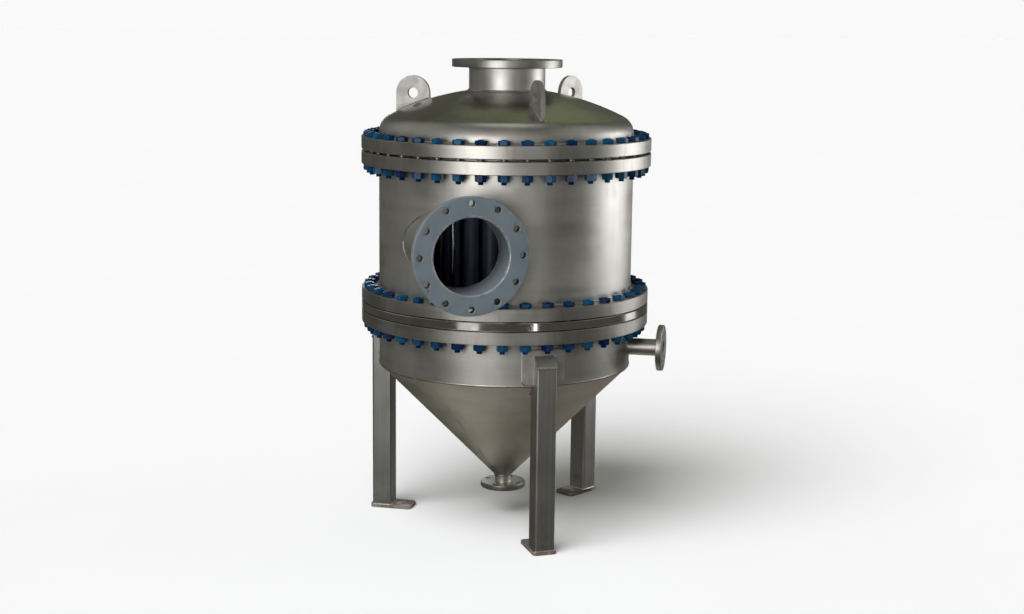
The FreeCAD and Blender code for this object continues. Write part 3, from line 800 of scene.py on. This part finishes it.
def cut_plate(place):
    """Hot rolled plate, ground all over after it was cut."""
    rolled = clouds(place, 22.0, 5.0)
    ground = clouds(place, 1.0, 3.0, (500.0, 500.0, 40.0))
    return {
        "Base Color": tint(fade(rolled, 0.35, 0.68), PLATE_STEEL, PLATE_SHADE),
        "Metallic": 1.0,
        "Roughness": 0.48 + rolled * 0.12,
        "Normal": relief(ground * 0.5 + clouds(place, 320.0, 2.0) * 0.5, 0.00012),
    }


plate = finish("cut_plate", cut_plate)
for number in (1, 2, 3):
    dress(plate, f"lifting_lug_{number}")
    soften(PLATE_EDGE, f"lifting_lug_{number}")


def round_box(half_x, low, high, corner):
    """A rounded rectangle as (x, y, outward x, outward y), from y low to y high."""
    middles = (
        (half_x - corner, high - corner, 0.0),
        (corner - half_x, high - corner, 90.0),
        (corner - half_x, low + corner, 180.0),
        (half_x - corner, low + corner, 270.0),
    )
    corners = []
    for x, y, start in middles:
        count = max(3, round(corner * math.pi / 2 / BEAD_STEP))
        for step in range(count + 1):
            turn = math.radians(start + 90.0 * step / count)
            out_x, out_y = math.cos(turn), math.sin(turn)
            corners.append((x + corner * out_x, y + corner * out_y, out_x, out_y))
    outline = []
    for index, spot in enumerate(corners):
        ahead = corners[(index + 1) % len(corners)]
        count = max(1, round(math.hypot(ahead[0] - spot[0], ahead[1] - spot[1]) / BEAD_STEP))
        for step in range(count):
            share = step / count
            outline.append(tuple(a + (b - a) * share for a, b in zip(spot, ahead)))
    return outline


lug_welds = Stock()
for azimuth in LUG_AZIMUTHS:
    out = facing(azimuth)
    side = facing(azimuth + 90.0)
    run = []
    for across, reach, out_across, out_reach in round_box(
        LUG_HALF_THICK, LUG_CENTRE - LUG_HALF, LUG_CENTRE + LUG_HALF, LUG_CORNER
    ):
        flat = side * across + out * reach
        point = flat + Vector((0.0, 0.0, crown_level(flat.length)))
        from_head = (point - Vector((0.0, 0.0, crown_centre))).normalized()
        normal = (from_head + side * out_across + out * out_reach).normalized()
        run.append((point, normal))
    bead(lug_welds, run, FILLET, LUG_WELD_HEIGHT)
lug_welds.piece("lug_welds", weld)


# ---------------------------------------------------------------- legs, pads and base plates
# The legs are 73 mm square tube, coped to the hopper over a curved pad, closed by a sloping cap and
# welded to a base plate. The tube keeps its mill skin, drawn lengthwise; damp has started rust on
# the base plates.

LEG_AZIMUTHS = {1: 0.0, 2: 120.0, 3: 240.0}
LEG_SHADE = (0.41, 0.4, 0.38, 1.0)
LEG_STEEL = (0.48, 0.47, 0.445, 1.0)
SPLASH_RUST = (0.16, 0.12, 0.08, 1.0)
DARK_RUST = (0.04, 0.022, 0.014, 1.0)
LIGHT_RUST = (0.11, 0.06, 0.035, 1.0)


def mill_steel(place):
    """Drawn tube, with lines along it and brown splashes near the floor."""
    z = axes(place)[2]
    drawn = clouds(place, 1.0, 4.0, (120.0, 120.0, 2.0))
    patches = clouds(place, 9.0, 4.0)
    splash = fade(z, 0.16, 0.0) * fade(clouds(place, 30.0, 4.0), 0.45, 0.7)
    colour = tint(fade(drawn * 0.6 + patches * 0.4, 0.38, 0.62), LEG_SHADE, LEG_STEEL)
    return {
        "Base Color": tint(splash * 0.45, colour, SPLASH_RUST),
        "Metallic": 1.0,
        "Roughness": 0.42 + (patches - 0.5) * 0.16 + splash * 0.1,
        "Normal": relief(drawn * 0.5 + clouds(place, 500.0, 2.0) * 0.5, 0.00008),
    }


def rusted_plate(place):
    """The same plate, with flaking rust over most of it."""
    steel = cut_plate(place)
    rust = fade(clouds(place, 16.0, 6.0), 0.3, 0.52)
    flakes = clouds(place, 150.0, 4.0)
    brown = tint(flakes, DARK_RUST, LIGHT_RUST)
    return {
        "Base Color": tint(rust * 0.85, steel["Base Color"], brown),
        "Metallic": 1.0 - rust * 0.85,
        "Roughness": steel["Roughness"] + rust * 0.3,
        "Normal": relief(flakes, 0.0003),
    }


mill = finish("leg_steel", mill_steel)
rusted = finish("rusted_plate", rusted_plate)
PAD_CORNER = 0.016
LEG_CORNER = 0.008
COPING_STEPS = 24
CAP_WELD_WIDTH = 0.006
CAP_WELD_HEIGHT = 0.0014
leg_low, leg_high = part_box("leg_1")
cap_low, cap_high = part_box("leg_cap_1")
pad_low, pad_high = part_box("leg_pad_1")
plate_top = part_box("base_plate_1")[1].z
leg_half = leg_high.x
pad_radius = -pad_low.y
cone_fall = (cone_high.z - cone_low.z) / (SHELL_RADIUS - DRAIN_RADIUS)


def swung(run, swing):
    """A run turned about the vessel's axis."""
    return [(swing @ point, swing @ normal) for point, normal in run]


leg_welds = Stock()
for number, azimuth in LEG_AZIMUTHS.items():
    dress(mill, f"leg_{number}")
    dress(plate, f"leg_pad_{number}", f"leg_cap_{number}")
    dress(rusted, f"base_plate_{number}")
    soften(PLATE_EDGE, f"base_plate_{number}", f"leg_cap_{number}")
    swing = Matrix.Rotation(math.radians(azimuth), 3, "Z")

    foot = []
    for x, y, out_x, out_y in round_box(leg_half, leg_low.y, leg_high.y, LEG_CORNER):
        foot.append((Vector((x, y, plate_top)), Vector((out_x, out_y, 1.0)).normalized()))
    fillet(leg_welds, swung(foot, swing), SMALL_FILLET)

    edge = []
    for x, z, out_x, out_z in round_box(pad_high.x, pad_low.z, pad_high.z, PAD_CORNER):
        on_shell = Vector((x, -math.sqrt(SHELL_RADIUS**2 - x * x), 0.0))
        normal = on_shell.normalized() + Vector((out_x, 0.0, out_z))
        edge.append((on_shell + Vector((0.0, 0.0, z)), normal.normalized()))
    fillet(leg_welds, swung(edge, swing), FINE_FILLET)

    for hand in (-1.0, 1.0):
        x = hand * leg_half
        on_pad = Vector((x, -math.sqrt(pad_radius**2 - x * x), 0.0))
        corner = (Vector((hand, 0.0, 0.0)) + on_pad.normalized()).normalized()
        low_end = on_pad + Vector((0.0, 0.0, pad_low.z))
        high_end = on_pad + Vector((0.0, 0.0, cap_high.z))
        fillet(leg_welds, swung(straight(low_end, high_end, corner), swing), SMALL_FILLET, False)

        coping = []
        lean = Vector((hand, 0.0, -0.6)).normalized()
        for step in range(COPING_STEPS + 1):
            radius = SHELL_RADIUS + (-leg_high.y - SHELL_RADIUS) * step / COPING_STEPS
            level = cone_high.z - (SHELL_RADIUS - radius) * cone_fall
            coping.append((Vector((x, -math.sqrt(radius**2 - x * x), level)), lean))
        fillet(leg_welds, swung(coping, swing), SMALL_FILLET, False)

        low_end = Vector((x, cap_low.y, cap_low.z))
        high_end = on_pad + Vector((0.0, 0.0, cap_low.z - cap_low.y + on_pad.y))
        slant = swung(straight(low_end, high_end, Vector((hand, 0.0, 0.0))), swing)
        bead(leg_welds, slant, CAP_WELD_WIDTH, CAP_WELD_HEIGHT, False)

    front_ends = [Vector((hand * leg_half, cap_low.y, cap_low.z)) for hand in (-1.0, 1.0)]
    front = swung(straight(*front_ends, Vector((0.0, -1.0, 0.0))), swing)
    bead(leg_welds, front, CAP_WELD_WIDTH, CAP_WELD_HEIGHT, False)
leg_welds.piece("leg_welds", weld)


# ---------------------------------------------------------------- floor, light and camera
# A pale studio floor under a soft overhead light. Five soft boxes and a narrow strip stand round the
# vessel for its metal to reflect, in an otherwise dim room.

FLOOR_HALF = 400.0
floor_mesh = bpy.data.meshes.new("floor")
floor_mesh.from_pydata(
    [(x * FLOOR_HALF, y * FLOOR_HALF, 0.0) for x, y in ((-1, -1), (1, -1), (1, 1), (-1, 1))],
    [],
    [(0, 1, 2, 3)],
)
floor = bpy.data.objects.new("floor", floor_mesh)
bpy.context.scene.collection.objects.link(floor)
FLOOR_GREY = (0.865, 0.87, 0.885, 1.0)
FLOOR_WHITE = (0.885, 0.89, 0.905, 1.0)


def pale_floor(place):
    """Matt and nearly white."""
    return {
        "Base Color": tint(clouds(place, 1.5, 3.0), FLOOR_GREY, FLOOR_WHITE),
        "Roughness": 0.9,
        "Specular IOR Level": 0.0,
    }


floor_mesh.materials.append(finish("pale_floor", pale_floor))
floor.visible_glossy = False

scene = bpy.context.scene
scene.view_settings.view_transform = "Standard"
world = bpy.data.worlds.new("studio")
scene.world = world
world.use_nodes = True
background = world.node_tree.nodes["Background"]
start = Wire(world.node_tree, background.outputs[0])
sight = start.node("ShaderNodeTexCoord", None, None, "Generated")
up = axes(sight)[2]
CAMERA_AZIMUTH = -17.2


def aimed(azimuth, elevation):
    """The direction at an azimuth from the camera's, and an elevation."""
    lift = math.radians(elevation)
    return facing(CAMERA_AZIMUTH + azimuth) * math.cos(lift) + Vector((0.0, 0.0, math.sin(lift)))


def patch(azimuth, elevation, inner, outer):
    """1 within inner degrees of a direction, and 0 past outer degrees of it."""
    sockets = {0: sight, 1: aimed(azimuth, elevation)}
    lean = sight.node("ShaderNodeVectorMath", {"operation": "DOT_PRODUCT"}, sockets, 1)
    return fade(lean, math.cos(math.radians(outer)), math.cos(math.radians(inner)))


LOW_ROOM = (0.07, 0.066, 0.058, 1.0)
SIDE_ROOM = (0.085, 0.085, 0.08, 1.0)
HIGH_ROOM = (0.1, 0.103, 0.082, 1.0)
CEILING = (0.75, 0.75, 0.73, 1.0)
LIT_FLOOR = (0.66, 0.61, 0.52, 1.0)
LIT_WALL = (0.8, 0.79, 0.77, 1.0)
GREEN_WALL = (0.2, 0.225, 0.13, 1.0)
WHITE_ROOM = (0.95, 0.95, 0.95, 1.0)
room = tint(fade(up, -0.35, -0.05), LOW_ROOM, SIDE_ROOM)
room = tint(fade(up, 0.1, 0.35), room, HIGH_ROOM)
room = tint(fade(up, 0.93, 0.995), room, CEILING)
for azimuth, elevation, inner, outer, share, colour in (
    (-141.0, -68.0, 0.0, 24.0, 1.0, LIT_FLOOR),
    (151.0, -44.0, 5.0, 36.0, 0.38, LIT_FLOOR),
    (165.0, 45.0, 3.0, 25.0, 1.0, GREEN_WALL),
    (-12.0, 27.0, 5.0, 40.0, 0.5, LIT_WALL),
    (92.0, 26.0, 5.0, 38.0, 0.5, LIT_WALL),
    (-100.0, 28.0, 10.0, 40.0, 0.4, LIT_WALL),
):
    room = tint(patch(azimuth, elevation, inner, outer) * share, room, colour)
seen = sight.node("ShaderNodeLightPath", None, None, "Is Camera Ray")
plug(world.node_tree, tint(seen, room, WHITE_ROOM), background.inputs["Color"])
BOX_DISTANCE = 3.2


def soft_box(name, azimuth, width, low, high, radiance):
    """An upright panel of light at a bearing from the camera, facing the vessel."""
    lamp = bpy.data.lights.new(name, "AREA")
    lamp.shape = "RECTANGLE"
    lamp.size = width
    lamp.size_y = high - low
    lamp.energy = radiance * math.pi * width * (high - low)
    made = bpy.data.objects.new(name, lamp)
    bearing = facing(CAMERA_AZIMUTH + azimuth)
    plumb = Vector((0.0, 0.0, 1.0))
    turn = Matrix((plumb.cross(bearing), plumb, bearing)).transposed()
    middle = bearing * BOX_DISTANCE + plumb * (low + high) / 2
    made.matrix_world = Matrix.Translation(middle) @ turn.to_4x4()
    made.visible_camera = False
    made.visible_diffuse = False
    scene.collection.objects.link(made)


soft_box("left_box", -21.0, 1.6, 0.68, 2.1, 5.0)
soft_box("left_box_foot", -26.0, 0.85, 0.2, 0.6, 1.2)
soft_box("right_box", 104.0, 1.65, 0.6, 2.1, 3.8)
soft_box("right_box_foot", 112.0, 0.9, 0.1, 0.6, 1.3)
soft_box("back_box", -168.0, 1.2, 0.7, 1.7, 1.8)
soft_box("strip", 22.0, 0.08, 0.0, 2.2, 5.5)

sun = bpy.data.lights.new("overhead", "SUN")
sun.energy = 3.3
sun.angle = math.radians(50.0)
overhead = bpy.data.objects.new("overhead", sun)
overhead.rotation_mode = "QUATERNION"
overhead.rotation_quaternion = aimed(-35.0, 52.0).to_track_quat("Z", "Y")
overhead.visible_glossy = False
scene.collection.objects.link(overhead)

HEADING = math.radians(17.463)
PITCH = math.radians(9.838)
ROLL = math.radians(0.6465)
CAMERA_DISTANCE = 5.815
CAMERA_HEIGHT = 1.7934
LENS = 56.67
SENSOR = 36.0
level_ahead = Vector((math.sin(HEADING), math.cos(HEADING), 0.0))
ahead = level_ahead * math.cos(PITCH) - Vector((0.0, 0.0, math.sin(PITCH)))
level_right = Vector((math.cos(HEADING), -math.sin(HEADING), 0.0))
level_up = level_right.cross(ahead)
right = level_right * math.cos(ROLL) + level_up * math.sin(ROLL)
upward = level_up * math.cos(ROLL) - level_right * math.sin(ROLL)
lens = bpy.data.cameras.new("camera")
lens.sensor_width = SENSOR
lens.lens = LENS
camera = bpy.data.objects.new("camera", lens)
stand = facing(CAMERA_AZIMUTH) * CAMERA_DISTANCE + Vector((0.0, 0.0, CAMERA_HEIGHT))
camera.matrix_world = Matrix.Translation(stand) @ Matrix((right, upward, -ahead)).transposed().to_4x4()
scene.collection.objects.link(camera)
scene.camera = camera

bpy.context.view_layer.update()
